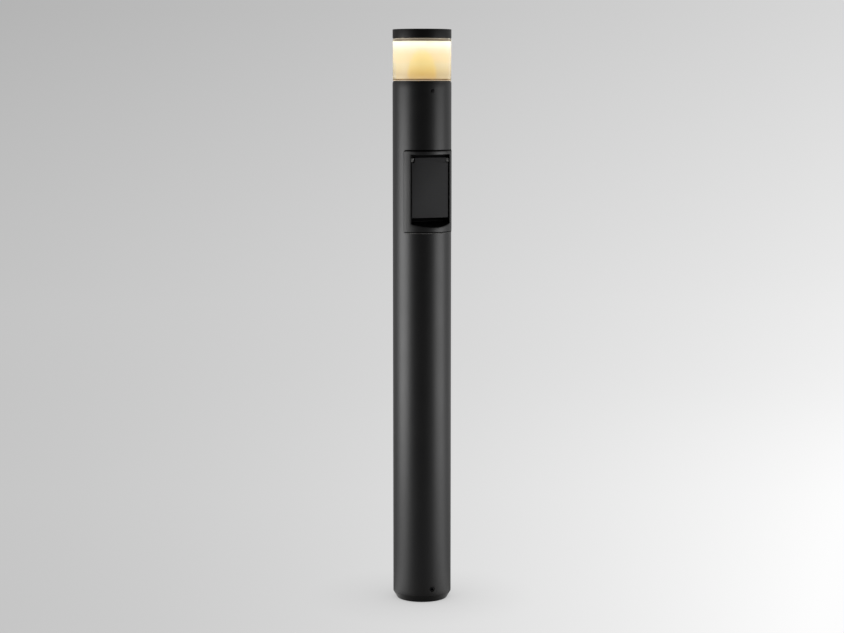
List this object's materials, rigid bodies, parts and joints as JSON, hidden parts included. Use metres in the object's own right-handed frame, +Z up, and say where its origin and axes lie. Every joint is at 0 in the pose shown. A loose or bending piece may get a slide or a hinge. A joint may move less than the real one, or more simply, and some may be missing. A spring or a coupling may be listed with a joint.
{
  "type": "bollard light with socket",
  "caption": "Round bollard light with a lit ring under its cap and a recessed mains socket behind a self-closing lid.",
  "frame": {"origin": "centre of the anchor circle on the foot's underside", "axes": "+Z up the pole, -Y out through the socket lid"},
  "size_m": [0.102, 0.103, 1],
  "materials": {
    "powder_coat": "satin black fine-texture powder coat",
    "cap_coat": "satin black powder coat",
    "stainless": "plain stainless",
    "black_steel": "blackened",
    "zinc_steel": "zinc plated",
    "raw_aluminium": "machined",
    "reflector": "satin white-coated spinning",
    "opal": "frosted opal",
    "board": "white solder mask",
    "led": "phosphor dome",
    "seal_rubber": "matte",
    "grey_plastic": "moulded",
    "white_plastic": "moulded",
    "driver_plastic": "moulded",
    "cable": "matte sheath",
    "bezel_plastic": "fine-grained black",
    "box_plastic": "moulded black",
    "lid_plastic": "fine-grained black",
    "bracket": "moulded",
    "insert_plastic": "moulded black",
    "brass": "machined"
  },
  "bodies": {
    "bollard": {"foot_casting": "powder_coat", "pole_tube": "powder_coat", "head_collar": "powder_coat", "top_cap": "cap_coat", "foot_set_screws": "black_steel", "head_set_screws": "black_steel", "lower_seal": "seal_rubber", "cap_seal": "seal_rubber", "diffuser": "opal", "led_carrier": "raw_aluminium", "led_board": "board", "led_chips": "led", "led_connector": "white_plastic", "board_screws": "stainless", "dome_reflector": "reflector", "reflector_screws": "stainless", "tie_tube": "zinc_steel", "tie_nut": "zinc_steel", "gear_rail": "zinc_steel", "rail_screws": "stainless", "junction_box": "grey_plastic", "junction_cover": "grey_plastic", "junction_cover_screws": "stainless", "box_fixing_screws": "stainless", "terminal_strip": "white_plastic", "inlet_gland": "grey_plastic", "led_driver": "driver_plastic", "driver_screws": "stainless", "driver_lead": "cable", "socket_lead": "cable", "led_lead": "cable", "socket_bezel": "bezel_plastic", "bezel_screws": "stainless", "bezel_gasket": "seal_rubber", "socket_box": "box_plastic", "window_gasket": "seal_rubber", "hinge_pin": "stainless", "hinge_brackets": "bracket", "lid_spring": "stainless", "insert_housing": "insert_plastic", "insert_gasket": "seal_rubber", "insert_screws": "stainless", "contact_carrier": "insert_plastic", "contact_sleeves": "brass", "terminal_screws": "brass", "earth_bow": "zinc_steel", "insert_rear_cover": "insert_plastic", "rear_cover_screw": "stainless"},
    "lid": {"lid": "lid_plastic", "lid_seal": "seal_rubber"},
    "shutter": {"shutter": "insert_plastic"}
  },
  "joints": [
    {"name": "lid_hinge", "type": "hinge", "parent": "bollard", "child": "lid", "pos_m": [0, -0.0327, 0.777], "axis": [-1, 0, 0], "range_deg": [0, 100], "stiffness_Nm_per_rad": 0.01, "springref_deg": -34.38},
    {"name": "shutter_turn", "type": "hinge", "parent": "bollard", "child": "shutter", "pos_m": [0, 0.018, 0.742], "axis": [0, -1, 0], "range_deg": [0, 50], "stiffness_Nm_per_rad": 0.0003, "springref_deg": -28.65}
  ]
}
